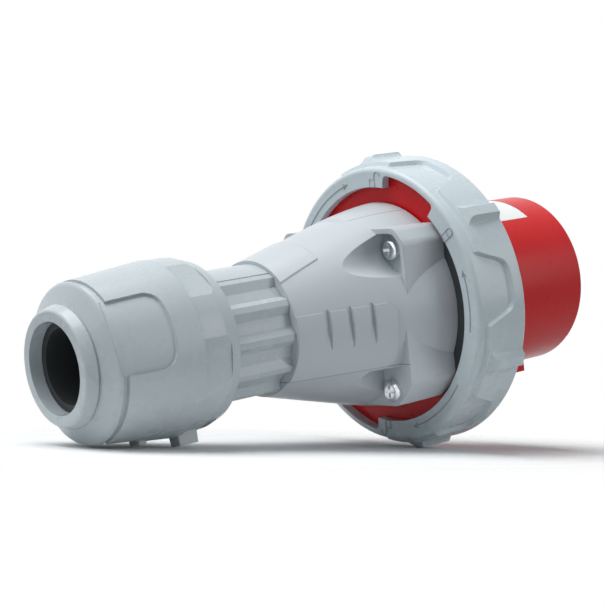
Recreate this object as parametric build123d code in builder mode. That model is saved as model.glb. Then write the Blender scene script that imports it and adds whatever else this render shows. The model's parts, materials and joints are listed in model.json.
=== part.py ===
from build123d import *
import os
from math import asin, atan2, cos, degrees, hypot, radians, sin, sqrt, tan

# Watertight plug for a five-pole 63 A supply. Every piece is drawn in the plug's own frame: the X axis
# is the plug's axis and runs to the nose, X = 0 is the rim of the shroud, and Z is up with the keyway at
# the bottom. Angles round the axis are measured from -Y, the near side, towards the top.
# At the end the whole plug is laid down as it comes to rest on a table.

# Shroud and contacts
shroud_outer_r = 35.5
shroud_wall = 3.0
shroud_length = 71.5
contact_depth = 58.0
pin_circle_r = 18.5
line_pin_r = 4.0
earth_pin_r = 5.0
pilot_pin_r = 3.0
pin_reach = 50.0
pilot_reach = 40.0
barrel_r = 6.2
pilot_barrel_r = 4.4
barrel_length = 44.0
wire_bore_r = 3.6
pilot_wire_bore_r = 1.8
wire_bore_depth = 18.0
terminal_screw_r = 2.0
terminal_head_r = 3.6
terminal_screw_inset = 9.0
key_width = 9.0
key_height = 4.6
key_setback = 8.0
label_setback = 15.0
label_length = 32.0
label_arc = 46.0
label_centre_angle = 74.0
label_depth = 0.3
label_film = 0.2
label_gap_angle = 0.2
rim_edge_r = 1.0
pin_nose = 0.45
shank_step = 0.5

# Flange, gaskets and contact block
flange_r = 53.1
flange_thick = 8.0
gasket_thick = 1.0
gasket_inset = 1.0
gasket_half = 45.0
seal_inner_r = 37.5
seal_outer_r = 49.0
seal_thick = 3.0
block_rear_r = 28.5
block_length = 54.0
block_shoulder = 20.0
seal_groove_depth = 1.0
seat_gap = 0.1
running_gap = 0.1
run_past = 1.0

# Locking ring
ring_hole_r = 48.3
ring_plate = 3.5
ring_length = 23.0
ring_rear_wall = 3.1
ring_front_wall = 6.0
ring_rear_edge_r = 2.0
ring_front_edge_r = 0.8
ring_relief = 1.8
ring_rear_band = 3.8
ring_draft = 30.0
ring_crease_r = 0.3
recess_length = 11.0
recess_front_half = 8.0
recess_rear_half = 13.8
recess_front_r = 2.5
recess_rear_r = 4.5
recess_sag = 2.3
ridge_count = 6
ridge_angle = 95.7
ridge_height = 2.0
ridge_tip_half = 2.2
ridge_root_half = 6.2
ridge_rear_length = 15.0
ridge_rear_r = 3.0
ridge_front_r = 1.0
window_cut = 0.3
window_corner_r = 2.0
window_overrun = 2.0
window_arc = 33.0
window_angle = 63.0
cam_height = 3.0
cam_thick = 4.0
cam_setback = 2.0
cam_root = 0.5
ring_play = 0.3

# Handle
handle_length = 68.5
handle_front_r = 41.9
handle_knee_r = 36.6
handle_knee = 28.5
handle_rear_r = 26.3
handle_wall = 3.3
handle_rib = 1.0
nose_upper_half = 37.7
nose_lower_half = 37.2
nose_top = 32.6
nose_bottom = -37.0
nose_gap = 2.1
nose_edge_r = 4.0
nose_upper_length = 21.5
nose_lower_length = 23.8
screw_side = 27.0
screw_top = 24.0
screw_bottom = -30.7
screw_well = 4.7
post_r = 7.0
screw_shank_r = 2.5
screw_head_r = 4.2
screw_head_thick = 3.0
screw_bite = 6.0
drive_width = 1.1
drive_depth = 1.6
drive_share = 1.2
head_gap = 0.4
scoop_r = 11.5
scoop_angle = 37.0
scoop_reach = 42.0
scoop_length = 26.0
scoop_taper = 6.5
scoop_wall = 2.2
frame_width = 2.0
notch_side = 21.5
notch_top = -21.0
notch_length = 12.7
notch_wall = 2.0
leaf_r = 6.0
leaf_reach = 39.0
leaf_angle = -45.0
leaf_taper = 8.0
leaf_length = 12.0
block_gap = 0.3
pad_height = 0.8
pad_top = 5.0
pad_bottom = -20.1
pad_length = 41.0
pad_corner_r = 4.0
groove_width = 2.4
groove_depth = 1.4
groove_top = 6.0
groove_length = 16.0
groove_pitch = 9.2
groove_first = 12.5
groove_count = 3
crown_height = 0.5
crown_half = 19.6
crown_length = 19.0

# Ribbed neck and cable gland
rib_r = 25.5
rib_root_r = 23.0
rib_tip_width = 2.4
rib_root_width = 8.6
rib_pitch = 30.0
rib_first = 35.0
ribs_a_side = 5
rib_margin = 4.0
rib_length = 31.0
neck_bore_r = 17.5
spigot_r = 21.6
spigot_length = 19.0
spigot_clearance = 2.0
thread_r = 27.0
thread_length = 22.0
thread_relief_r = 24.8
thread_relief = 4.0
thread_gap = 0.3
visible_neck = 30.0
basket_r = 23.5
basket_wall = 2.7
basket_fingers = 12
finger_slot = 1.6
basket_base = 6.0
basket_chamfer = 1.2
seal_bore_r = 14.0
seal_bite = 7.9
seal_nose_length = 5.5
washer_thick = 2.0
washer_bore_r = 16.7

# Gland nut
nut_length = 59.7
nut_entry_r = 16.9
entry_wall = 8.4
collar_rear_r = 20.9
collar_front_r = 22.6
collar_length = 4.6
shoulder_length = 4.4
nut_rear_r = 29.9
nut_seam_r = 33.2
nut_front_r = 30.6
nut_skirt_length = 17.0
nut_nose_length = 7.0
nut_step = 0.35
nut_relief = 1.1
nut_rear_band = 2.6
collar_edge_r = 1.2
nut_edge_r = 3.0
nut_nose_r = 5.0
nut_mouth_r = 0.8
collar_lip_r = 0.5
nut_crease_r = 0.1
nut_band_draft = 0.6
thread_runout = 2.0
grip_length = 20.3
grip_half = 13.2
grip_corner_r = 4.0
grip_draft = 20.0
grip_angle = 20.5
grip_count = 3
grip_sag = 3.8
collar_groove = 1.2
cone_length = 3.0
cone_gap = 1.5
flat_count = 6
flat_angle = -8.3
flat_apothem = 31.6
nut_flat_overrun = 2.0
peg_length = 9.5
peg_height = 3.4
peg_width = 7.0
peg_draft = 4.0
peg_angle = -81.0
peg_corner_r = 1.0
stud_length = 4.0
stud_setback = 13.0
stud_height = 2.0

# Places along the axis
flange_front = -shroud_length
flange_rear = flange_front - flange_thick
handle_front = flange_rear - gasket_thick
handle_rear = handle_front - handle_length
ring_plate_front = flange_rear - ring_play
ring_rear = ring_plate_front - ring_plate
ring_front = ring_rear + ring_length
ring_bore_r = flange_r + running_gap
ring_rear_r = ring_bore_r + ring_rear_wall
ring_front_r = ring_bore_r + ring_front_wall
window_outer_r = ring_bore_r + window_cut
ridge_tip_r = ring_front_r + ridge_height
nose_reach = ring_hole_r - nose_gap
block_front = -contact_depth
block_rear = block_front - block_length
terminal_screw_x = block_rear + terminal_screw_inset
rib_rear = handle_rear - rib_length
nut_front = handle_rear - visible_neck
nut_rear = nut_front - nut_length
nut_seam = nut_front - nut_skirt_length
neck_rear = rib_rear - thread_relief - thread_length
spigot_front = handle_rear + spigot_length
entry_front = nut_rear + entry_wall
washer_rear = entry_front + seat_gap
washer_front = washer_rear + washer_thick
seal_rear = washer_front + seat_gap
seal_front = neck_rear + seal_bite
basket_rear = washer_front + seat_gap
basket_front = neck_rear + basket_base
upper_seat = handle_front - nose_upper_length + screw_well
lower_seat = handle_front - nose_lower_length
top_angle = 90.0
keyway_angle = -90.0
power_contacts = ("pin_earth", "pin_l1", "pin_l2", "pin_l3", "pin_neutral")
pin_angles = {name: keyway_angle + 360 / len(power_contacts) * i for i, name in enumerate(power_contacts)}
upper_screws = [(-screw_side, screw_top), (screw_side, screw_top)]
lower_screws = [(-screw_side, screw_bottom), (screw_side, screw_bottom)]


def across(place):
    """Plane square to the axis at a place along it, with local x along +Y and local y along +Z."""
    return Plane(origin=(place, 0, 0), x_dir=(0, 1, 0), z_dir=(1, 0, 0))


def along(angle):
    """Plane through the axis at an angle round it: local x along the axis, local y outwards."""
    out = (0, -cos(radians(angle)), sin(radians(angle)))
    side = (0, -sin(radians(angle)), -cos(radians(angle)))
    return Plane(origin=(0, 0, 0), x_dir=(1, 0, 0), z_dir=side)


def spot(angle, radius):
    """Local point of a cross plane at an angle and radius round the axis."""
    return (-radius * cos(radians(angle)), radius * sin(radians(angle)))


def facing(angle, radius):
    """Plane at an angle and radius that faces outwards, with local x along the axis."""
    out = (0, -cos(radians(angle)), sin(radians(angle)))
    return Plane(origin=(0, radius * out[1], radius * out[2]), x_dir=(1, 0, 0), z_dir=out)


def half_section(*points, start=top_angle):
    """Face of a turned form, from its (place along the axis, radius) corners."""
    with BuildSketch(along(start)) as section:
        with BuildLine():
            Polyline(*points, close=True)
        make_face()
    return section.sketch


def tube_section(rear, front, inner_r, outer_r, start=top_angle):
    """Half section of a plain tube or disc."""
    corners = (rear, inner_r), (front, inner_r), (front, outer_r), (rear, outer_r)
    return half_section(*corners, start=start)


# Red nose moulding: shroud tube, keyway rib, flange and the posts that take the housing screws
with BuildPart() as front_shroud:
    revolve(tube_section(flange_rear, 0, shroud_outer_r - shroud_wall, shroud_outer_r), axis=Axis.X)
    revolve(tube_section(flange_rear, flange_front, shroud_outer_r - shroud_wall, flange_r), axis=Axis.X)
    key_rear = flange_front + seal_thick + seat_gap
    with BuildSketch(across(key_rear)):
        with Locations(spot(keyway_angle, shroud_outer_r)):
            Rectangle(key_width, 2 * key_height)
    extrude(amount=-key_setback - key_rear)
    with BuildSketch(across(flange_rear)):
        Circle(shroud_outer_r - shroud_wall)
    extrude(amount=shroud_length + flange_thick, mode=Mode.SUBTRACT)
    rim = front_shroud.edges().filter_by(GeomType.CIRCLE).group_by(Axis.X)[-1]
    fillet(rim, rim_edge_r)
    with BuildSketch(across(flange_rear)):
        with Locations(*upper_screws, *lower_screws):
            Circle(screw_shank_r)
    extrude(amount=screw_bite + seat_gap, mode=Mode.SUBTRACT)
    label_top = label_centre_angle + label_arc / 2
    recess = tube_section(
        -label_setback - label_length, -label_setback, shroud_outer_r - label_depth,
        shroud_outer_r + run_past, start=label_top,
    )
    revolve(recess, axis=Axis.X, revolution_arc=label_arc, mode=Mode.SUBTRACT)
front_shroud.part.label = "front_shroud"

# White label film in the shroud's shallow recess, left blank
with BuildPart() as rating_label:
    label_floor = shroud_outer_r - label_depth
    film = tube_section(
        -label_setback - label_length + seat_gap, -label_setback - seat_gap, label_floor,
        label_floor + label_film, start=label_top - label_gap_angle,
    )
    revolve(film, axis=Axis.X, revolution_arc=label_arc - 2 * label_gap_angle)
rating_label.part.label = "rating_label"

# Contact block: a stepped carrier with a stepped hole for each contact
with BuildPart() as contact_block:
    revolve(
        half_section(
            (block_rear, 0),
            (block_front, 0),
            (block_front, shroud_outer_r - shroud_wall - seat_gap),
            (block_front - block_shoulder, shroud_outer_r - shroud_wall - seat_gap),
            (block_front - block_shoulder, block_rear_r),
            (block_rear, block_rear_r),
        ),
        axis=Axis.X,
    )
    barrel_front = block_rear + barrel_length
    for name, angle in pin_angles.items():
        shaft_r = earth_pin_r if name == "pin_earth" else line_pin_r
        with BuildSketch(across(block_rear)):
            with Locations(spot(angle, pin_circle_r)):
                Circle(barrel_r + seat_gap)
        extrude(amount=barrel_length, mode=Mode.SUBTRACT)
        with BuildSketch(across(barrel_front)):
            with Locations(spot(angle, pin_circle_r)):
                Circle(shaft_r + shank_step + seat_gap)
        extrude(amount=block_length - barrel_length, mode=Mode.SUBTRACT)
        with BuildSketch(across(block_rear)):
            with Locations(Rotation(0, 0, 180 - angle) * Location((block_rear_r, 0))):
                Rectangle(2 * (block_rear_r - pin_circle_r), 2 * (screw_head_r + seat_gap))
        extrude(amount=2 * terminal_screw_inset, mode=Mode.SUBTRACT)
    with BuildSketch(across(block_rear)):
        Circle(pilot_barrel_r + seat_gap)
    extrude(amount=barrel_length, mode=Mode.SUBTRACT)
    with BuildSketch(across(barrel_front)):
        Circle(pilot_pin_r + shank_step + seat_gap)
    extrude(amount=block_length - barrel_length, mode=Mode.SUBTRACT)
contact_block.part.label = "contact_block"


def contact(shaft_r, reach, collar_r, wire_r):
    """Turned contact on the plug's axis: rounded pin, shank, barrel, and a blind bore for the wire."""
    tip = block_front + reach
    with BuildPart() as pin:
        with BuildSketch(along(top_angle)):
            with BuildLine():
                corner = shaft_r * pin_nose
                shank_r = shaft_r + shank_step
                Polyline(
                    (tip, 0), (block_rear, 0), (block_rear, collar_r), (barrel_front, collar_r),
                    (barrel_front, shank_r), (block_front, shank_r), (block_front, shaft_r),
                    (tip - corner, shaft_r),
                )
                RadiusArc((tip - corner, shaft_r), (tip, shaft_r - corner), corner)
                Line((tip, shaft_r - corner), (tip, 0))
            make_face()
        revolve(axis=Axis.X)
        with BuildSketch(across(block_rear)):
            Circle(wire_r)
        extrude(amount=wire_bore_depth, mode=Mode.SUBTRACT)
    return pin.part


# Turned contacts, each with its clamp screw's hole facing outwards
contacts = {}
for name, angle in pin_angles.items():
    with BuildPart() as placed_pin:
        shaft_r = earth_pin_r if name == "pin_earth" else line_pin_r
        y, z = spot(angle, pin_circle_r)
        add(contact(shaft_r, pin_reach, barrel_r, wire_bore_r).moved(Location((0, y, z))))
        with BuildSketch(facing(angle, pin_circle_r)):
            with Locations((terminal_screw_x, 0)):
                Circle(terminal_screw_r)
        extrude(amount=barrel_r + run_past, mode=Mode.SUBTRACT)
    placed_pin.part.label = name
    contacts[name] = placed_pin

with BuildPart() as pin_pilot:
    add(contact(pilot_pin_r, pilot_reach, pilot_barrel_r, pilot_wire_bore_r))
pin_pilot.part.label = "pin_pilot"

# Clamp screws of the five power contacts
with BuildPart() as terminal_screws:
    for angle in pin_angles.values():
        shank_end = pin_circle_r + wire_bore_r / 2
        head_rest = pin_circle_r + barrel_r + seat_gap
        head_top = head_rest + screw_head_thick / 2
        with BuildSketch(facing(angle, shank_end)):
            with Locations((terminal_screw_x, 0)):
                Circle(terminal_screw_r)
        extrude(amount=head_rest - shank_end)
        with BuildSketch(facing(angle, head_rest)):
            with Locations((terminal_screw_x, 0)):
                Circle(terminal_head_r)
        extrude(amount=head_top - head_rest)
        with BuildSketch(facing(angle, head_top)):
            with Locations((terminal_screw_x, 0)):
                Rectangle(3 * terminal_head_r, drive_width)
        extrude(amount=-drive_width, mode=Mode.SUBTRACT)
terminal_screws.part.label = "terminal_screws"

# Face seal in the well between the shroud and the locking ring
with BuildPart() as face_seal:
    seal_front_face = flange_front + seal_thick
    revolve(tube_section(flange_front, seal_front_face, seal_inner_r, seal_outer_r), axis=Axis.X)
    groove_mid = (seal_inner_r + seal_outer_r) / 2
    revolve(
        half_section(
            (seal_front_face - seal_groove_depth, groove_mid),
            (seal_front_face + seal_groove_depth, groove_mid - 2 * seal_groove_depth),
            (seal_front_face + seal_groove_depth, groove_mid + 2 * seal_groove_depth),
        ),
        axis=Axis.X,
        mode=Mode.SUBTRACT,
    )
face_seal.part.label = "face_seal"


def flare_outline(inset):
    """Handle's half outline, drawn in by a wall: straight cone, then an arc tangent to it."""
    knee = handle_front - handle_knee
    cone = Line((handle_rear, handle_rear_r - inset), (knee, handle_knee_r - inset))
    return cone, TangentArc(cone @ 1, (handle_front, handle_front_r - inset), tangent=cone % 1)


def nose_section(half, height, reach):
    """Half of the handle's boxy nose, above the axis or below it, with its corners cut by a circle."""
    with BuildSketch() as section:
        with Locations((0, height / 2)):
            Rectangle(2 * half, abs(height))
        Circle(reach, mode=Mode.INTERSECT)
        fillet(section.vertices().sort_by(lambda corner: abs(corner.Y))[2:], nose_edge_r)
    return section.sketch


def offset_skin(height):
    """Round body of the handle, grown by a small height for the pads that stand on it."""
    with BuildPart() as skin:
        with BuildSketch(along(top_angle)):
            with BuildLine():
                flare_outline(-height)
                Polyline(
                    (handle_front, handle_front_r + height), (handle_front, 0), (handle_rear, 0),
                    (handle_rear, handle_rear_r + height),
                )
            make_face()
        revolve(axis=Axis.X)
    return skin.part


# Space inside the handle, less the screw posts and the walls of the scoops and notches
with BuildPart() as handle_space:
    with BuildSketch(along(top_angle)):
        with BuildLine():
            flare_outline(handle_wall + handle_rib)
            Polyline(
                (handle_front, handle_front_r - handle_wall - handle_rib), (handle_front, 0),
                (handle_rear, 0), (handle_rear, handle_rear_r - handle_wall - handle_rib),
            )
        make_face()
    revolve(axis=Axis.X)
    with BuildSketch(across(handle_rear)):
        Circle(handle_front_r)
    extrude(amount=spigot_length + seat_gap, mode=Mode.SUBTRACT)
    with BuildSketch(across(handle_rear)):
        with Locations(*upper_screws, *lower_screws):
            Circle(post_r)
    extrude(amount=handle_length, mode=Mode.SUBTRACT)
    with BuildSketch(across(upper_seat + handle_wall)):
        with Locations(spot(scoop_angle, scoop_reach), spot(180 - scoop_angle, scoop_reach)):
            Circle(scoop_r + scoop_wall)
    extrude(amount=-scoop_length - handle_wall, taper=scoop_taper, mode=Mode.SUBTRACT)
    with BuildSketch(across(lower_seat + handle_wall)):
        with Locations(Location((-notch_side + notch_wall, notch_top + notch_wall))):
            Rectangle(handle_front_r, handle_front_r, align=(Align.MAX, Align.MAX))
        with Locations(Location((notch_side - notch_wall, notch_top + notch_wall))):
            Rectangle(handle_front_r, handle_front_r, align=(Align.MIN, Align.MAX))
    extrude(amount=-notch_length - handle_wall - notch_wall, mode=Mode.SUBTRACT)
    with BuildSketch(across(handle_front)):
        Circle(block_rear_r + block_gap)
    extrude(amount=block_rear - handle_front - block_gap)

# Handle: a flared round shell that ends in a boxy nose with four screw corners
with BuildPart() as handle:
    add(offset_skin(0))
    with BuildSketch(across(handle_front)):
        add(nose_section(nose_upper_half, nose_top, nose_reach))
    extrude(amount=-nose_upper_length)
    with BuildSketch(across(handle_front)):
        add(nose_section(nose_lower_half, nose_bottom, nose_reach))
    extrude(amount=-nose_lower_length)
    for side in (-1, 1):
        with BuildPart(mode=Mode.PRIVATE) as side_pad:
            add(offset_skin(pad_height))
            with BuildSketch(Plane.XZ):
                with BuildLine():
                    edge = FilletPolyline(
                        (handle_rear - run_past, pad_top), (handle_rear + pad_length, pad_top),
                        (handle_rear + pad_length, pad_bottom), (handle_rear - run_past, pad_bottom),
                        radius=pad_corner_r,
                    )
                    Line(edge @ 1, edge @ 0)
                make_face()
            extrude(amount=-side * handle_front_r, mode=Mode.INTERSECT)
        add(side_pad.part)
    with BuildPart(mode=Mode.PRIVATE) as crown:
        add(offset_skin(crown_height))
        with BuildSketch(Plane.XY):
            with Locations((handle_rear + crown_length / 2, 0)):
                Rectangle(crown_length, 2 * crown_half)
        extrude(amount=handle_front_r, mode=Mode.INTERSECT)
    add(crown.part)
    cone_slope = (handle_knee_r - handle_rear_r) / (handle_length - handle_knee)
    for i in range(groove_count):
        groove_x = handle_rear + groove_first + groove_pitch * i
        skin_r = handle_rear_r + cone_slope * (groove_x - handle_rear)
        for side in (-1, 1):
            with BuildSketch(Plane.XZ.offset(side * (skin_r + pad_height - groove_depth))):
                with Locations((groove_x, groove_top - groove_length / 2)):
                    SlotOverall(groove_length, groove_width, rotation=90)
            extrude(amount=side * 2 * groove_depth, mode=Mode.SUBTRACT)
    add(handle_space.part, mode=Mode.SUBTRACT)
    with BuildSketch(across(handle_rear)):
        Circle(spigot_r + seat_gap)
    extrude(amount=spigot_length + spigot_clearance, mode=Mode.SUBTRACT)
    with BuildSketch(across(handle_rear)):
        with Locations(*upper_screws, *lower_screws):
            Circle(screw_shank_r + seat_gap)
    extrude(amount=handle_length, mode=Mode.SUBTRACT)
    # Upper corners: a well for each screw head, framed by the nose, with a scoop that runs out behind it
    for angle in (scoop_angle, 180 - scoop_angle):
        with BuildSketch(across(upper_seat)):
            with Locations(spot(angle, scoop_reach)):
                Circle(scoop_r)
            framed = nose_section(
                nose_upper_half - frame_width, nose_top - frame_width, nose_reach - frame_width,
            )
            add(framed, mode=Mode.INTERSECT)
        extrude(amount=-screw_well, mode=Mode.SUBTRACT)
        with BuildSketch(across(upper_seat - screw_well)):
            with Locations(spot(angle, scoop_reach)):
                Circle(scoop_r)
        extrude(amount=-scoop_length, taper=scoop_taper, mode=Mode.SUBTRACT)
    # Lower corners: a square notch for each screw head and a small leaf-shaped scoop behind it
    with BuildSketch(across(lower_seat)):
        with Locations(Location((-notch_side, notch_top))):
            Rectangle(handle_front_r, handle_front_r, align=(Align.MAX, Align.MAX))
        with Locations(Location((notch_side, notch_top))):
            Rectangle(handle_front_r, handle_front_r, align=(Align.MIN, Align.MAX))
    extrude(amount=-notch_length, mode=Mode.SUBTRACT)
    with BuildSketch(across(lower_seat - notch_length)):
        with Locations(spot(leaf_angle, leaf_reach), spot(180 - leaf_angle, leaf_reach)):
            Circle(leaf_r)
    extrude(amount=-leaf_length, taper=leaf_taper, mode=Mode.SUBTRACT)
handle.part.label = "handle"


# Four pan-head housing screws with cross recesses; the upper pair sits deeper than the lower
with BuildPart() as housing_screws:
    for seat, places in ((upper_seat, upper_screws), (lower_seat, lower_screws)):
        for place in places:
            with BuildPart(mode=Mode.PRIVATE) as screw:
                with BuildSketch(across(seat)):
                    with Locations(place):
                        Circle(screw_shank_r - seat_gap)
                extrude(amount=flange_rear + screw_bite - seat)
                with BuildSketch(across(seat)):
                    with Locations(place):
                        Circle(screw_head_r)
                extrude(amount=-screw_head_thick)
                fillet(screw.edges().filter_by(GeomType.CIRCLE).group_by(Axis.X)[0], screw_head_thick / 2)
                with BuildSketch(across(seat - screw_head_thick)):
                    with Locations(place):
                        Rectangle(screw_head_r * drive_share, drive_width)
                        Rectangle(drive_width, screw_head_r * drive_share)
                extrude(amount=drive_depth, mode=Mode.SUBTRACT)
            add(screw.part)
housing_screws.part.label = "housing_screws"

# Flat gasket between the handle's nose and the flange, standing out at both sides
with BuildPart() as body_gasket:
    with BuildSketch(across(handle_front)):
        add(nose_section(gasket_half, nose_top - gasket_inset, nose_reach))
        add(nose_section(gasket_half, nose_bottom + gasket_inset, nose_reach))
        Circle(block_rear_r + block_gap, mode=Mode.SUBTRACT)
        with Locations(*upper_screws, *lower_screws):
            Circle(screw_shank_r + seat_gap, mode=Mode.SUBTRACT)
    extrude(amount=gasket_thick)
    with BuildSketch(across(block_front - block_shoulder - block_gap)):
        Circle(shroud_outer_r - shroud_wall)
    extrude(amount=block_shoulder, mode=Mode.SUBTRACT)
body_gasket.part.label = "body_gasket"

# Ribbed neck: spigot in the handle, splined grip, relief and thread for the gland nut
with BuildPart() as ribbed_neck:
    revolve(
        half_section(
            (spigot_front, neck_bore_r),
            (spigot_front, spigot_r),
            (handle_rear - seat_gap, spigot_r),
            (handle_rear - seat_gap, rib_root_r),
            (rib_rear, rib_root_r),
            (rib_rear, thread_relief_r),
            (rib_rear - thread_relief, thread_relief_r),
            (rib_rear - thread_relief, thread_r),
            (neck_rear, thread_r),
            (neck_rear, basket_r + seat_gap),
            (basket_front + seat_gap, basket_r + seat_gap),
            (basket_front + seat_gap, basket_r - basket_wall),
            (seal_front, basket_r - basket_wall),
            (seal_front, neck_bore_r),
        ),
        axis=Axis.X,
    )
    rib_steps = [turn * (rib_first + rib_pitch * i) for turn in (-1, 1) for i in range(ribs_a_side)]
    for step in rib_steps:
        with BuildSketch(across(rib_rear)):
            with Locations(Rotation(0, 0, top_angle + step)):
                Polygon(
                    (rib_root_r - run_past, -rib_root_width / 2), (rib_r, -rib_tip_width / 2),
                    (rib_r, rib_tip_width / 2), (rib_root_r - run_past, rib_root_width / 2), align=None,
                )
        extrude(amount=rib_length - seat_gap)
    smooth_arc = 2 * (rib_first - rib_margin)
    smooth_start = top_angle + smooth_arc / 2
    revolve(
        tube_section(rib_rear, handle_rear - seat_gap, rib_root_r - run_past, rib_r, start=smooth_start),
        axis=Axis.X,
        revolution_arc=smooth_arc,
    )
ribbed_neck.part.label = "ribbed_neck"

# Clamp basket: a ring of springy fingers that the nut squeezes round the seal
with BuildPart() as clamp_basket:
    basket_bore_r = basket_r - basket_wall + seat_gap
    revolve(tube_section(basket_rear, basket_front, basket_bore_r, basket_r), axis=Axis.X)
    rear_edges = clamp_basket.edges().filter_by(GeomType.CIRCLE).group_by(Axis.X)[0]
    chamfer(rear_edges.sort_by(SortBy.RADIUS)[-1], basket_chamfer)
    with BuildSketch(across(basket_rear)):
        with PolarLocations(0, basket_fingers):
            with Locations((basket_r, 0)):
                Rectangle(3 * basket_wall, finger_slot)
    extrude(amount=neck_rear - basket_rear, mode=Mode.SUBTRACT)
clamp_basket.part.label = "clamp_basket"

# Rubber sealing bush round the cable
with BuildPart() as gland_seal:
    revolve(tube_section(seal_rear, seal_front, seal_bore_r, basket_r - basket_wall), axis=Axis.X)
    nose = tube_section(seal_rear - seal_nose_length, seal_rear, seal_bore_r, washer_bore_r - seat_gap)
    revolve(nose, axis=Axis.X)
gland_seal.part.label = "gland_seal"

# Thrust washer between the nut and the sealing bush
with BuildPart() as thrust_washer:
    revolve(tube_section(washer_rear, washer_front, washer_bore_r, basket_r - basket_wall), axis=Axis.X)
thrust_washer.part.label = "thrust_washer"

# Gland nut: entry collar, shoulder, relieved grip body, seam, wrench flats and a peg
with BuildPart() as gland_nut:
    collar_front = nut_rear + collar_length
    body_rear = collar_front + shoulder_length
    with BuildSketch(along(top_angle)):
        with BuildLine():
            outer = FilletPolyline(
                (nut_rear, nut_entry_r),
                (nut_rear, collar_rear_r),
                (collar_front, collar_front_r),
                (collar_front, collar_front_r - collar_groove),
                (body_rear, nut_rear_r),
                (nut_seam, nut_seam_r),
                (nut_seam, nut_seam_r - nut_step),
                (nut_front - nut_nose_length, nut_seam_r - nut_step),
                (nut_front, nut_front_r),
                (nut_front, thread_r + thread_gap),
                radius=(
                    collar_edge_r, collar_lip_r, nut_crease_r, nut_edge_r, nut_crease_r, nut_crease_r,
                    nut_nose_r, nut_mouth_r,
                ),
            )
            thread_end = neck_rear - thread_runout
            Polyline(
                outer @ 1,
                (thread_end, thread_r + thread_gap),
                (thread_end, basket_r + cone_gap),
                (washer_front + cone_length, basket_r + thread_gap),
                (washer_rear - seat_gap, basket_r + thread_gap),
                (washer_rear - seat_gap, nut_entry_r),
                outer @ 0,
            )
        make_face()
    revolve(axis=Axis.X)
    skirt = across(nut_seam)
    with BuildSketch(skirt):
        Circle(nut_seam_r + run_past)
        flat_turn = 180 - flat_angle + 180 / flat_count
        RegularPolygon(flat_apothem, flat_count, major_radius=False, rotation=flat_turn, mode=Mode.SUBTRACT)
    extrude(amount=nut_skirt_length - nut_nose_length + nut_flat_overrun, mode=Mode.SUBTRACT)
    body_slope = (nut_seam_r - nut_rear_r) / (nut_seam - body_rear)
    land_rear = body_rear + nut_rear_band
    floor_r = nut_rear_r - nut_relief
    nut_edge = body_rear + nut_edge_r / 4
    band = half_section(
        (nut_edge, floor_r),
        (land_rear, floor_r + body_slope * nut_rear_band),
        (land_rear + nut_band_draft, nut_seam_r),
        (nut_edge, nut_seam_r),
    )
    revolve(band, axis=Axis.X, mode=Mode.SUBTRACT)
    for i in range(grip_count):
        with BuildPart(mode=Mode.PRIVATE) as grip:
            with BuildSketch(facing(grip_angle + 360 / grip_count * i, floor_r - grip_sag)):
                with BuildLine():
                    edge = FilletPolyline(
                        (nut_edge, grip_half), (body_rear + grip_length, grip_half),
                        (body_rear + grip_length, -grip_half), (nut_edge, -grip_half),
                        radius=grip_corner_r,
                    )
                    Line(edge @ 1, edge @ 0)
                make_face()
            extrude(amount=nut_seam_r - floor_r + 2 * grip_sag, taper=-grip_draft)
            core = half_section(
                (body_rear - grip_length, 0),
                (body_rear - grip_length, floor_r - body_slope * grip_length),
                (nut_seam, floor_r + body_slope * (nut_seam - body_rear)),
                (nut_seam, 0),
            )
            revolve(core, axis=Axis.X, mode=Mode.SUBTRACT)
        add(grip.part, mode=Mode.SUBTRACT)
    for middle, length, rise in (
        (nut_seam + peg_length / 2, peg_length, nut_seam_r - nut_rear_r + peg_height),
        (nut_seam - stud_setback - stud_length / 2, stud_length, nut_relief + stud_height),
    ):
        with BuildSketch(facing(peg_angle, nut_rear_r)):
            with Locations((middle, 0)):
                RectangleRounded(length, peg_width, peg_corner_r)
        extrude(amount=rise, taper=peg_draft)
gland_nut.part.label = "gland_nut"

# One ridge of the locking ring, on its top: concave flanks, a ramp at its rear end and a rounded front
ridge_foot = ring_rear + ring_rear_band
ridge_rear = ring_front - ridge_rear_length
with BuildPart() as ridge:
    base_r = ring_rear_r - ring_relief / 2
    root = sqrt((ring_rear_r + ring_relief) ** 2 - ridge_root_half ** 2)
    with BuildSketch(across(ring_rear)):
        with BuildLine():
            Line((-ridge_tip_half, ridge_tip_r), (ridge_tip_half, ridge_tip_r))
            for side in (-1, 1):
                foot = (side * ridge_root_half, root)
                tip = (side * ridge_tip_half, ridge_tip_r)
                TangentArc(foot, tip, tangent=(-side * root, ridge_root_half))
            Polyline(
                (ridge_root_half, root), (ridge_root_half, base_r), (-ridge_root_half, base_r),
                (-ridge_root_half, root),
            )
        make_face()
    extrude(amount=ring_length)
    with BuildSketch(along(top_angle)):
        with BuildLine():
            ends = FilletPolyline(
                (ridge_foot, base_r), (ridge_rear, ridge_tip_r), (ring_front, ridge_tip_r),
                (ring_front, base_r), radius=(ridge_rear_r, ridge_front_r),
            )
            Line(ends @ 1, ends @ 0)
        make_face()
    extrude(amount=2 * ridge_root_half, both=True, mode=Mode.INTERSECT)

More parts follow.
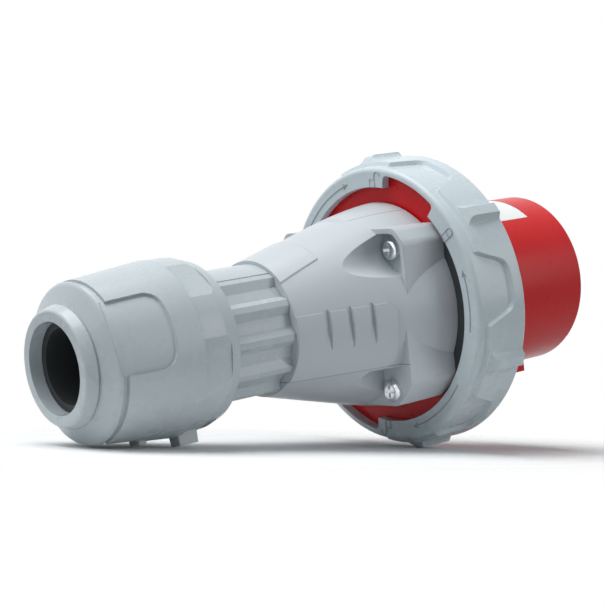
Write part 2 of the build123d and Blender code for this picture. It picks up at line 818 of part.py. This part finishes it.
# One grip recess of the ring, on its top: sloped walls down to the level of the rear band
ring_slope = (ring_front_r - ring_relief - ring_rear_r) / ring_length
with BuildPart() as recess:
    with BuildSketch(facing(top_angle, ring_rear_r - recess_sag)):
        with BuildLine():
            outline = FilletPolyline(
                (ridge_foot - run_past, 2 * recess_rear_half), (ridge_foot - run_past, recess_rear_half),
                (ridge_foot + recess_length, recess_front_half),
                (ridge_foot + recess_length, -recess_front_half),
                (ridge_foot - run_past, -recess_rear_half), (ridge_foot - run_past, -2 * recess_rear_half),
                radius=(recess_rear_r, recess_front_r, recess_front_r, recess_rear_r),
            )
            Polyline(
                outline @ 1, (ring_rear - run_past, -2 * recess_rear_half),
                (ring_rear - run_past, 2 * recess_rear_half), outline @ 0,
            )
        make_face()
    extrude(amount=2 * recess_sag + ring_relief, taper=-ring_draft)
    revolve(
        half_section(
            (ring_rear - ring_length, 0),
            (ring_rear - ring_length, ring_rear_r - ring_slope * ring_length),
            (ring_front, ring_front_r - ring_relief),
            (ring_front, 0),
        ),
        axis=Axis.X,
        mode=Mode.SUBTRACT,
    )

# Locking ring: rear plate with two windows, bayonet cams, raised front band, recesses and ridges
with BuildPart() as locking_ring:
    foot_r = ring_rear_r + ring_slope * ring_rear_band
    with BuildSketch(along(top_angle)):
        with BuildLine():
            outer = FilletPolyline(
                (ring_rear, ring_hole_r),
                (ring_rear, ring_rear_r),
                (ridge_foot, foot_r),
                (ridge_foot + ring_relief * tan(radians(ring_draft)), foot_r + ring_relief),
                (ring_front, ring_front_r),
                (ring_front, ring_bore_r),
                radius=(ring_rear_edge_r, ring_crease_r, ring_crease_r, ring_front_edge_r),
            )
            Polyline(
                outer @ 1, (ring_plate_front, ring_bore_r), (ring_plate_front, ring_hole_r), outer @ 0,
            )
        make_face()
    revolve(axis=Axis.X)
    for i in range(ridge_count):
        turn = top_angle - ridge_angle + 360 / ridge_count * i
        add(ridge.part.rotate(Axis.X, turn))
        add(recess.part.rotate(Axis.X, turn + 180 / ridge_count), mode=Mode.SUBTRACT)
    for middle in (window_angle, window_angle + 180):
        with BuildSketch(across(ring_rear - run_past)) as window:
            reach = 2 * window_outer_r
            half = radians(window_arc / 2)
            with Locations(Rotation(0, 0, 180 - middle)):
                Polygon((0, 0), (reach, -reach * tan(half)), (reach, reach * tan(half)), align=None)
            Circle(window_outer_r, mode=Mode.INTERSECT)
            Circle(ring_hole_r - window_overrun, mode=Mode.SUBTRACT)
            fillet(window.vertices().sort_by_distance((0, 0))[2:], window_corner_r)
        extrude(amount=ring_plate + cam_root + run_past, mode=Mode.SUBTRACT)
        start = middle + window_arc / 2
        cam_front = ring_front - cam_setback
        cam = tube_section(
            cam_front - cam_thick, cam_front, ring_bore_r - cam_height, ring_bore_r + cam_root, start=start,
        )
        revolve(cam, axis=Axis.X, revolution_arc=window_arc)
locking_ring.part.label = "locking_ring"

pieces = [
    front_shroud, rating_label, contact_block, *contacts.values(), pin_pilot, terminal_screws, face_seal,
    body_gasket, handle, housing_screws, ribbed_neck, clamp_basket, gland_seal, thrust_washer, gland_nut,
    locking_ring,
]

# The plug rests on the ring's lowest ridge and on the gland nut's rear edge or its peg, nose up
ramp = atan2(ridge_tip_r - base_r, ridge_rear - ridge_foot)
lean = radians(ridge_angle - top_angle)
rest_x = ridge_rear + ridge_rear_r * tan(ramp / 2)
rest_r = (ridge_tip_r - ridge_rear_r) * cos(lean) + ridge_tip_half * sin(lean)


def tilt_from(place, radius):
    """Tilt of the line that touches a point under the axis and the lowest ridge's rounded rear end."""
    run, drop = rest_x - place, rest_r - radius
    return atan2(drop, run) + asin(ridge_rear_r / hypot(run, drop))


nut_tilt = tilt_from(nut_edge, floor_r)
peg_turn = radians(peg_angle - keyway_angle)
peg_drop = (nut_seam_r + peg_height) * cos(peg_turn) + peg_width / 2 * sin(peg_turn)
peg_tilt = tilt_from(nut_seam, peg_drop)
nose_up = Location((0, 0, 0), (0, -degrees(min(nut_tilt, peg_tilt)), 0))
for piece in pieces:
    piece.part.move(nose_up)
whole = Compound([piece.part for piece in pieces]).bounding_box()
to_floor = Location((-whole.center().X, -whole.center().Y, -whole.min.Z))
for piece in pieces:
    piece.part.move(to_floor)

os.makedirs("parts", exist_ok=True)
export_step(front_shroud.part, "parts/front_shroud.step")
export_step(rating_label.part, "parts/rating_label.step")
export_step(contact_block.part, "parts/contact_block.step")
for name, pin in contacts.items():
    export_step(pin.part, f"parts/{name}.step")
export_step(pin_pilot.part, "parts/pin_pilot.step")
export_step(terminal_screws.part, "parts/terminal_screws.step")
export_step(face_seal.part, "parts/face_seal.step")
export_step(body_gasket.part, "parts/body_gasket.step")
export_step(handle.part, "parts/handle.step")
export_step(housing_screws.part, "parts/housing_screws.step")
export_step(ribbed_neck.part, "parts/ribbed_neck.step")
export_step(clamp_basket.part, "parts/clamp_basket.step")
export_step(gland_seal.part, "parts/gland_seal.step")
export_step(thrust_washer.part, "parts/thrust_washer.step")
export_step(gland_nut.part, "parts/gland_nut.step")
export_step(locking_ring.part, "parts/locking_ring.step")

size = whole.size
print(f"size {size.X:.2f} x {size.Y:.2f} x {size.Z:.2f} mm, nose up {-nose_up.orientation.Y:.4f} degrees")
rim_centre = to_floor.position
print(f"shroud rim centre at {rim_centre.X:.4f}, {rim_centre.Y:.4f}, {rim_centre.Z:.4f} mm")
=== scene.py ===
"""Looks of a round industrial power plug: materials, raised signs, parting lines, light and camera."""

import json
from math import cos, degrees, pi, radians, sin

import bpy
from mathutils import Matrix, Vector


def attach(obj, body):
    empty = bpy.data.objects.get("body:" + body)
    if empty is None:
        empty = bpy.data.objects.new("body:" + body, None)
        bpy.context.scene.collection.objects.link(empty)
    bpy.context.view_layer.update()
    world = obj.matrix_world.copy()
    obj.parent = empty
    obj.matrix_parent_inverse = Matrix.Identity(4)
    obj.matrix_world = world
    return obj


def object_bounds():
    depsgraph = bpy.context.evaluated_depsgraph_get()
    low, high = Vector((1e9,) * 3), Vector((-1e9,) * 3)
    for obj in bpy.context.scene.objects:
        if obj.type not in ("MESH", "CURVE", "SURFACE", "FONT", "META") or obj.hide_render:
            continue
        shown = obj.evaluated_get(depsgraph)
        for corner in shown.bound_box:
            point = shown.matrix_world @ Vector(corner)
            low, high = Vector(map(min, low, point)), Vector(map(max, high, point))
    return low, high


# Places in the plug's own frame, in metres: X = 0 at the shroud's rim and runs to the nose, Z is up and
# Y runs away from the viewer. Angles round the axis run from the near side to the top, in degrees.
RING_JOINT_X = -0.072
RING_REAR = -0.0833

# Mould line along both sides of the handle, back from its lower screw notches
SIDE_SEAM_FRONT = -0.1043
SIDE_SEAM_HEIGHT = -0.0201
SEAM_HALF = 0.00014

# Low saddle on top of the handle: a ramp at its rear end, and a near edge that spreads towards the nose
SADDLE_REAR = -0.1078
SADDLE_RAMP = 0.0038
SADDLE_TOP_START = SADDLE_REAR + SADDLE_RAMP
SADDLE_SIDE = -0.0097
SADDLE_SPREAD = 0.324
SADDLE_HEIGHT = 0.0016
HANDLE_TOP = 0.025

# Raised signs on the locking ring's rear face, coloured darker than the ring as painted shade along their
# raised edges
SIGN_R = 0.0515
SIGN_LINE = 0.0003
SIGN_ROUNDNESS = 2
CLOSED_LOCK_ANGLE = 32.5
CLOSED_ARROW = (-12.0, 15.5)
OPEN_LOCK_ANGLE = 86.5
OPEN_ARROW = (142.0, 104.0)
LOCK_SIZE = 0.0031
SHACKLE_STEPS = 6
SHACKLE_SWING = 0.9 * LOCK_SIZE
ARROW_STEP = 3.0
BARB_REACH = 0.001

# Camera of the photograph
CAMERA_PLACE = (-0.5380, -0.5155, 0.0676)
CAMERA_YAW = radians(39.06)
CAMERA_PITCH = radians(8.31)
CAMERA_NEAR = 0.01
PHOTO_PIXELS = 604
FOCAL_PIXELS = 1685
SENSOR_MM = 36

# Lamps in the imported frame: name, place, size in metres and power in watts
LAMPS = (
    ("top_light", (-0.30, 0.10, 0.85), 0.7, 8.3),
    ("side_light", (0.45, -0.75, 0.35), 0.5, 2.1),
    ("rear_light", (-0.80, 0.05, 0.40), 0.5, 1.5),
)

# Floor: it is whole near the plug and fades out over an oval
FLOOR_HALF = 0.6
FLOOR_CLEAR = 0.12
FLOOR_FADE = 0.26
FLOOR_NARROW = 1.8
FLOOR_ROUGHNESS = 0.9

# Colours, linear
# The nut and neck grey, the handle grey and the ring grey are one plastic. The ring's bluer tint is its own,
# but the steps in brightness between them are painted: painted shade on the nut and neck, painted light on the
# ring, and the handle in between.
GREY_WITH_PAINTED_SHADE = (0.455, 0.505, 0.530)
RING_GREY_WITH_PAINTED_LIGHT = (0.535, 0.605, 0.640)
HANDLE_GREY = (0.505, 0.545, 0.572)
# Ring plastic darkened for the signs: painted shade along their raised edges
SIGN_GREY_WITH_PAINTED_SHADE = (0.32, 0.355, 0.375)
SEAM_GREY = (0.16, 0.18, 0.19)
RED = (0.60, 0.008, 0.012)
BLACK = (0.022, 0.026, 0.029)
CHARCOAL = (0.03, 0.031, 0.034)
LABEL_WHITE = (0.80, 0.81, 0.80)
NICKEL = (0.66, 0.63, 0.56)
ZINC = (0.86, 0.89, 0.93)
FLOOR_WHITE = (0.82, 0.82, 0.82)
SKY_LOW = (0.10, 0.115, 0.12)
SKY_HIGH = (0.225, 0.26, 0.28)
WHITE = (1, 1, 1)

# Range of a noise texture's values that matters
NOISE_LOW = 0.3
NOISE_HIGH = 0.7

# Moulded surfaces: patches of colour, smudges of gloss and grain, in waves a metre, and soft edges
PATCH_WAVES = 18.0
SMUDGE_WAVES = 90.0
SMUDGE_GLOSS = (-0.015, 0.025)
GRAIN_STRENGTH = 0.5
EDGE_ROUND = 0.0004
EDGE_SAMPLES = 6

# Plated surfaces: dull patches, worn gloss and turning lines
TARNISH = 0.82
TARNISH_WAVES = 400.0
WEAR_WAVES = 900.0
WEAR_GLOSS = (-0.06, 0.08)
TURNING_HEIGHT = 0.00001
TURNING_STRENGTH = 0.4

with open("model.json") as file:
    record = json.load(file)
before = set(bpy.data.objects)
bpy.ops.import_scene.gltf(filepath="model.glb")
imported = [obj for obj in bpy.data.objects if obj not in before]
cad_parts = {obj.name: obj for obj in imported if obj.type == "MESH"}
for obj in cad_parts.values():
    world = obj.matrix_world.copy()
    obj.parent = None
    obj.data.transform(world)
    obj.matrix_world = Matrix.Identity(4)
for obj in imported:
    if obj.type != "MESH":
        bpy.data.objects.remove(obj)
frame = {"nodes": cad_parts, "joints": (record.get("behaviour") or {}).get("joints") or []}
cad_low, cad_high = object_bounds()


def plug_frame():
    """Matrix from the plug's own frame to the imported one, read off the locking ring's hinge."""
    hinge = next(joint for joint in frame["joints"] if joint["name"] == "ring_turn")
    nose = Vector(hinge["axis"]).normalized()
    away = Vector((0, 1, 0))
    up = nose.cross(away)
    rim = Vector(hinge["pos_m"]) - nose * RING_JOINT_X
    return Matrix.Translation(rim) @ Matrix((nose, away, up)).transposed().to_4x4()


PLUG = plug_frame()


def new_material(name):
    """Empty node material: its tree, its shader and its object coordinates."""
    material = bpy.data.materials.new(name)
    material.use_nodes = True
    tree = material.node_tree
    return material, tree, tree.nodes["Principled BSDF"], tree.nodes.new("ShaderNodeTexCoord").outputs["Object"]


def noise(tree, place, waves, detail=2.0):
    """Noise texture's value, with a scale in waves a metre."""
    node = tree.nodes.new("ShaderNodeTexNoise")
    node.inputs["Scale"].default_value = waves
    node.inputs["Detail"].default_value = detail
    tree.links.new(place, node.inputs["Vector"])
    return node.outputs["Fac"]


def spread(tree, value, low=0.0, high=1.0):
    """Noise value stretched to a new range."""
    node = tree.nodes.new("ShaderNodeMapRange")
    node.inputs["From Min"].default_value = NOISE_LOW
    node.inputs["From Max"].default_value = NOISE_HIGH
    node.inputs["To Min"].default_value = low
    node.inputs["To Max"].default_value = high
    tree.links.new(value, node.inputs["Value"])
    return node.outputs["Result"]


def mix_colours(tree, factor, low, high):
    """Colour between two colours, the first of which may be a socket."""
    node = tree.nodes.new("ShaderNodeMix")
    node.data_type = "RGBA"
    tree.links.new(factor, node.inputs["Factor"])
    if isinstance(low, bpy.types.NodeSocket):
        tree.links.new(low, node.inputs["A"])
    else:
        node.inputs["A"].default_value = (*low, 1)
    node.inputs["B"].default_value = (*high, 1)
    return node.outputs["Result"]


def calculate(tree, operation, *values):
    """Math node's result, from sockets and plain numbers."""
    node = tree.nodes.new("ShaderNodeMath")
    node.operation = operation
    for socket, value in zip(node.inputs, values):
        if isinstance(value, (int, float)):
            socket.default_value = value
        else:
            tree.links.new(value, socket)
    return node.outputs[0]


def product(tree, first, *others):
    """Product of several sockets, which is 1 only where every one of several tests is 1."""
    for other in others:
        first = calculate(tree, "MULTIPLY", first, other)
    return first


def round_edges(tree):
    """Surface normal with sharp edges rounded."""
    node = tree.nodes.new("ShaderNodeBevel")
    node.samples = EDGE_SAMPLES
    node.inputs["Radius"].default_value = EDGE_ROUND
    return node.outputs["Normal"]


def relief(tree, value, height, strength, normal=None):
    """Surface normal of a bump with a height in metres, on top of another normal."""
    node = tree.nodes.new("ShaderNodeBump")
    node.inputs["Distance"].default_value = height
    node.inputs["Strength"].default_value = strength
    tree.links.new(value, node.inputs["Height"])
    if normal is not None:
        tree.links.new(normal, node.inputs["Normal"])
    return node.outputs["Normal"]


def plug_place(tree, place):
    """Coordinates of a surface in the plug's own frame, one socket each."""
    mapping = tree.nodes.new("ShaderNodeMapping")
    inverse = PLUG.inverted()
    mapping.inputs["Location"].default_value = inverse.to_translation()
    mapping.inputs["Rotation"].default_value = inverse.to_euler()
    tree.links.new(place, mapping.inputs["Vector"])
    parts = tree.nodes.new("ShaderNodeSeparateXYZ")
    tree.links.new(mapping.outputs["Vector"], parts.inputs["Vector"])
    return parts.outputs


def moulded(
    name, colour, gloss, shine=0.5, change=0.02, grain=0.0004, height=0.00002, seam=None, step=None,
):
    """Moulded plastic or rubber: fine spark-eroded grain, faint colour and gloss variation, soft edges.

    A seam is a function that draws dark mould lines: 1 on a line and 0 beside it. A step is one that gives
    the height of a raised area in metres.
    """
    material, tree, shader, place = new_material(name)
    shader.inputs["Specular IOR Level"].default_value = shine
    patches = spread(tree, noise(tree, place, PATCH_WAVES, detail=3.0))
    dark = [c * (1 - change) for c in colour]
    pale = [c * (1 + change) for c in colour]
    body = mix_colours(tree, patches, dark, pale)
    if seam:
        body = mix_colours(tree, seam(tree, place), body, SEAM_GREY)
    tree.links.new(body, shader.inputs["Base Color"])
    smudges = noise(tree, place, SMUDGE_WAVES, detail=4.0)
    roughness = spread(tree, smudges, *(gloss + shift for shift in SMUDGE_GLOSS))
    tree.links.new(roughness, shader.inputs["Roughness"])
    normal = relief(tree, noise(tree, place, 1 / grain, detail=3.0), height, GRAIN_STRENGTH, round_edges(tree))
    if step:
        normal = relief(tree, step(tree, place), 1.0, 1.0, normal)
    tree.links.new(normal, shader.inputs["Normal"])
    return material


def saddle_edge(tree, x, y):
    """Distance of a place from the saddle's near edge, positive on the saddle."""
    run = calculate(tree, "SUBTRACT", x, SADDLE_TOP_START)
    return calculate(tree, "SUBTRACT", calculate(tree, "MULTIPLY_ADD", run, SADDLE_SPREAD, y), SADDLE_SIDE)


def handle_seam(tree, place):
    """Mould lines of the handle: one along both sides and one along the saddle's near edge."""
    x, y, z = plug_place(tree, place)
    on_side = product(
        tree,
        calculate(tree, "COMPARE", z, SIDE_SEAM_HEIGHT, SEAM_HALF),
        calculate(tree, "LESS_THAN", x, SIDE_SEAM_FRONT),
    )
    on_edge = product(
        tree,
        calculate(tree, "COMPARE", saddle_edge(tree, x, y), 0.0, SEAM_HALF),
        calculate(tree, "GREATER_THAN", x, SADDLE_TOP_START),
        calculate(tree, "GREATER_THAN", z, HANDLE_TOP),
    )
    return calculate(tree, "MAXIMUM", on_side, on_edge)


def handle_saddle(tree, place):
    """Height of the saddle above the handle's skin."""
    x, y, z = plug_place(tree, place)
    ramp = tree.nodes.new("ShaderNodeMapRange")
    ramp.inputs["From Min"].default_value = SADDLE_REAR
    ramp.inputs["From Max"].default_value = SADDLE_TOP_START
    ramp.inputs["To Max"].default_value = SADDLE_HEIGHT
    tree.links.new(x, ramp.inputs["Value"])
    return product(
        tree,
        ramp.outputs["Result"],
        calculate(tree, "GREATER_THAN", saddle_edge(tree, x, y), 0.0),
        calculate(tree, "GREATER_THAN", z, HANDLE_TOP),
    )


def plated(name, colour, gloss, lines):
    """Plated metal with fine turning lines, in waves a metre."""
    material, tree, shader, place = new_material(name)
    shader.inputs["Metallic"].default_value = 1.0
    patches = spread(tree, noise(tree, place, TARNISH_WAVES, detail=3.0))
    body = mix_colours(tree, patches, [c * TARNISH for c in colour], colour)
    tree.links.new(body, shader.inputs["Base Color"])
    roughness = spread(tree, noise(tree, place, WEAR_WAVES), *(gloss + shift for shift in WEAR_GLOSS))
    tree.links.new(roughness, shader.inputs["Roughness"])
    normal = relief(tree, noise(tree, place, lines), TURNING_HEIGHT, TURNING_STRENGTH)
    tree.links.new(normal, shader.inputs["Normal"])
    return material


# Nut and neck darkened as painted shade, ring lightened as painted light; the ring's bluer tint is real
PLASTIC_WITH_PAINTED_SHADE = moulded("grey_plastic", GREY_WITH_PAINTED_SHADE, gloss=0.27, shine=0.35)
RING_PLASTIC_WITH_PAINTED_LIGHT = moulded("ring_plastic_with_painted_light", RING_GREY_WITH_PAINTED_LIGHT, gloss=0.27, shine=0.35)
HANDLE_PLASTIC = moulded(
    "handle_plastic", HANDLE_GREY, gloss=0.32, shine=0.35, seam=handle_seam, step=handle_saddle,
)
# The signs' darker grey is painted shade along their raised edges
SIGN_PLASTIC_WITH_PAINTED_SHADE = moulded("sign_plastic_with_painted_shade", SIGN_GREY_WITH_PAINTED_SHADE, gloss=0.25)
RED_PLASTIC = moulded("red_plastic", RED, gloss=0.28, shine=0.2, height=0.000012)
BLACK_PLASTIC = moulded("black_plastic", BLACK, gloss=0.45)
DARK_PLASTIC = moulded("dark_plastic", CHARCOAL, gloss=0.42)
RUBBER = moulded("rubber", BLACK, gloss=0.62, grain=0.0006)
LABEL_FILM = moulded("label_film", LABEL_WHITE, gloss=0.40, change=0.015, grain=0.002, height=0.000004)
PIN_METAL = plated("nickel_plate", NICKEL, gloss=0.24, lines=1500.0)
SCREW_METAL = plated("zinc_plate", ZINC, gloss=0.20, lines=2500.0)

FINISHES = {
    "front_shroud": RED_PLASTIC,
    "rating_label": LABEL_FILM,
    "contact_block": BLACK_PLASTIC,
    "pin_earth": PIN_METAL,
    "pin_l1": PIN_METAL,
    "pin_l2": PIN_METAL,
    "pin_l3": PIN_METAL,
    "pin_neutral": PIN_METAL,
    "pin_pilot": PIN_METAL,
    "terminal_screws": SCREW_METAL,
    "face_seal": RUBBER,
    "body_gasket": RUBBER,
    "handle": HANDLE_PLASTIC,
    "housing_screws": SCREW_METAL,
    "ribbed_neck": PLASTIC_WITH_PAINTED_SHADE,
    "clamp_basket": DARK_PLASTIC,
    "gland_seal": RUBBER,
    "thrust_washer": DARK_PLASTIC,
    "gland_nut": PLASTIC_WITH_PAINTED_SHADE,
    "locking_ring": RING_PLASTIC_WITH_PAINTED_LIGHT,
}
for node, finish in FINISHES.items():
    for slot in frame["nodes"][node].material_slots:
        slot.material = finish


def ring_place(angle, radius):
    """Point on the locking ring's rear face, by its angle round the axis."""
    turn = radians(angle)
    return PLUG @ Vector((RING_REAR, -radius * cos(turn), radius * sin(turn)))


def lock_sign(angle, opened):
    """Lines of a padlock on the ring: a box towards the axis and a shackle outwards, swung aside if opened."""
    half = LOCK_SIZE / 2
    swing = SHACKLE_SWING if opened else 0.0
    free_end = half if opened else 0.0
    bends = [pi * i / SHACKLE_STEPS for i in range(SHACKLE_STEPS + 1)]
    loop = [(half * cos(bend) - swing, half + half * sin(bend)) for bend in bends]
    box = [(-half, -2 * half), (half, -2 * half), (half, 0), (-half, 0), (-half, -2 * half)]
    shackle = [(half - swing, 0), *loop, (-half - swing, free_end)]
    lines = []
    for line in (box, shackle):
        lines.append([ring_place(angle + degrees(u / SIGN_R), SIGN_R + v) for u, v in line])
    return lines


def arrow_sign(tail, head):
    """Lines of a long curved arrow on the ring, from its tail's angle to its head's."""
    steps = round(abs(head - tail) / ARROW_STEP)
    shaft = [ring_place(tail + (head - tail) * i / steps, SIGN_R) for i in range(steps + 1)]
    back = head + (tail - head) / abs(tail - head) * ARROW_STEP
    barbs = [
        ring_place(back, SIGN_R - BARB_REACH), ring_place(head, SIGN_R), ring_place(back, SIGN_R + BARB_REACH),
    ]
    return [shaft, barbs]


def make_signs():
    """Raised lock and unlock signs, twice round the ring."""
    lines = []
    for half_turn in (0, 180):
        lines += lock_sign(CLOSED_LOCK_ANGLE + half_turn, opened=False)
        lines += arrow_sign(*(angle + half_turn for angle in CLOSED_ARROW))
        lines += lock_sign(OPEN_LOCK_ANGLE + half_turn, opened=True)
        lines += arrow_sign(*(angle + half_turn for angle in OPEN_ARROW))
    curve = bpy.data.curves.new("ring_signs", "CURVE")
    curve.dimensions = "3D"
    curve.bevel_depth = SIGN_LINE
    curve.bevel_resolution = SIGN_ROUNDNESS
    curve.use_fill_caps = True
    for line in lines:
        spline = curve.splines.new("POLY")
        spline.points.add(len(line) - 1)
        for point, place in zip(spline.points, line):
            point.co = (*place, 1)
    signs = bpy.data.objects.new("ring_signs", curve)
    bpy.context.collection.objects.link(signs)
    # Darker sign colour: painted shade along the raised lines
    curve.materials.append(SIGN_PLASTIC_WITH_PAINTED_SHADE)
    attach(signs, "locking_ring")


def make_camera():
    """Camera at the photograph's place, angle and lens."""
    nose = Vector((cos(CAMERA_PITCH) * cos(CAMERA_YAW), sin(CAMERA_PITCH), cos(CAMERA_PITCH) * sin(CAMERA_YAW)))
    away = nose.cross(Vector((0, 1, 0))).normalized()
    up = away.cross(nose)
    right, top, ahead = Matrix((nose, away, up)).transposed()
    data = bpy.data.cameras.new("photo_camera")
    data.sensor_width = SENSOR_MM
    data.lens = FOCAL_PIXELS / PHOTO_PIXELS * SENSOR_MM
    data.clip_start = CAMERA_NEAR
    camera = bpy.data.objects.new("photo_camera", data)
    bpy.context.collection.objects.link(camera)
    turn = Matrix((right, top, -ahead)).transposed().to_4x4()
    camera.matrix_world = PLUG @ Matrix.Translation(CAMERA_PLACE) @ turn
    bpy.context.scene.camera = camera


def area_light(name, place, size, power):
    """Square soft light that faces the middle of the plug."""
    data = bpy.data.lights.new(name, "AREA")
    data.size = size
    data.energy = power
    light = bpy.data.objects.new(name, data)
    light.location = place
    middle = (cad_low + cad_high) / 2
    light.rotation_euler = (middle - Vector(place)).to_track_quat("-Z", "Y").to_euler()
    bpy.context.collection.objects.link(light)


def make_floor():
    """Plain pale floor that keeps the shadow and fades into the white surroundings away from the plug."""
    corners = [(x * FLOOR_HALF, y * FLOOR_HALF, 0) for x, y in ((-1, -1), (1, -1), (1, 1), (-1, 1))]
    mesh = bpy.data.meshes.new("floor")
    mesh.from_pydata(corners, [], [(0, 1, 2, 3)])
    floor = bpy.data.objects.new("floor", mesh)
    bpy.context.collection.objects.link(floor)
    material, tree, shader, place = new_material("floor")
    shader.inputs["Base Color"].default_value = (*FLOOR_WHITE, 1)
    shader.inputs["Roughness"].default_value = FLOOR_ROUGHNESS
    oval = tree.nodes.new("ShaderNodeVectorMath")
    oval.operation = "MULTIPLY"
    oval.inputs[1].default_value = (1, FLOOR_NARROW, 1)
    tree.links.new(place, oval.inputs[0])
    reach = tree.nodes.new("ShaderNodeVectorMath")
    reach.operation = "LENGTH"
    tree.links.new(oval.outputs["Vector"], reach.inputs[0])
    fade = tree.nodes.new("ShaderNodeMapRange")
    fade.interpolation_type = "SMOOTHSTEP"
    fade.inputs["From Min"].default_value = FLOOR_CLEAR
    fade.inputs["From Max"].default_value = FLOOR_FADE
    tree.links.new(reach.outputs["Value"], fade.inputs["Value"])
    clear = tree.nodes.new("ShaderNodeBsdfTransparent")
    mix = tree.nodes.new("ShaderNodeMixShader")
    tree.links.new(fade.outputs["Result"], mix.inputs["Fac"])
    tree.links.new(shader.outputs["BSDF"], mix.inputs[1])
    tree.links.new(clear.outputs["BSDF"], mix.inputs[2])
    tree.links.new(mix.outputs["Shader"], tree.nodes["Material Output"].inputs["Surface"])
    mesh.materials.append(material)


def make_world():
    """Pale surroundings, brighter above, and white where the camera or a reflection sees them."""
    world = bpy.data.worlds.new("studio")
    world.use_nodes = True
    bpy.context.scene.world = world
    tree = world.node_tree
    path = tree.nodes.new("ShaderNodeLightPath")
    seen = calculate(tree, "MAXIMUM", path.outputs["Is Camera Ray"], path.outputs["Is Glossy Ray"])
    seen = calculate(tree, "MAXIMUM", seen, path.outputs["Is Transmission Ray"])
    parts = tree.nodes.new("ShaderNodeSeparateXYZ")
    tree.links.new(tree.nodes.new("ShaderNodeTexCoord").outputs["Generated"], parts.inputs["Vector"])
    # The direction's height runs from -1 to 1
    height = calculate(tree, "MULTIPLY_ADD", parts.outputs["Z"], 0.5, 0.5)
    sky = mix_colours(tree, seen, mix_colours(tree, height, SKY_LOW, SKY_HIGH), WHITE)
    tree.links.new(sky, tree.nodes["Background"].inputs["Color"])


make_signs()
make_camera()
make_floor()
make_world()
for lamp in LAMPS:
    area_light(*lamp)
bpy.context.scene.view_settings.view_transform = "Standard"
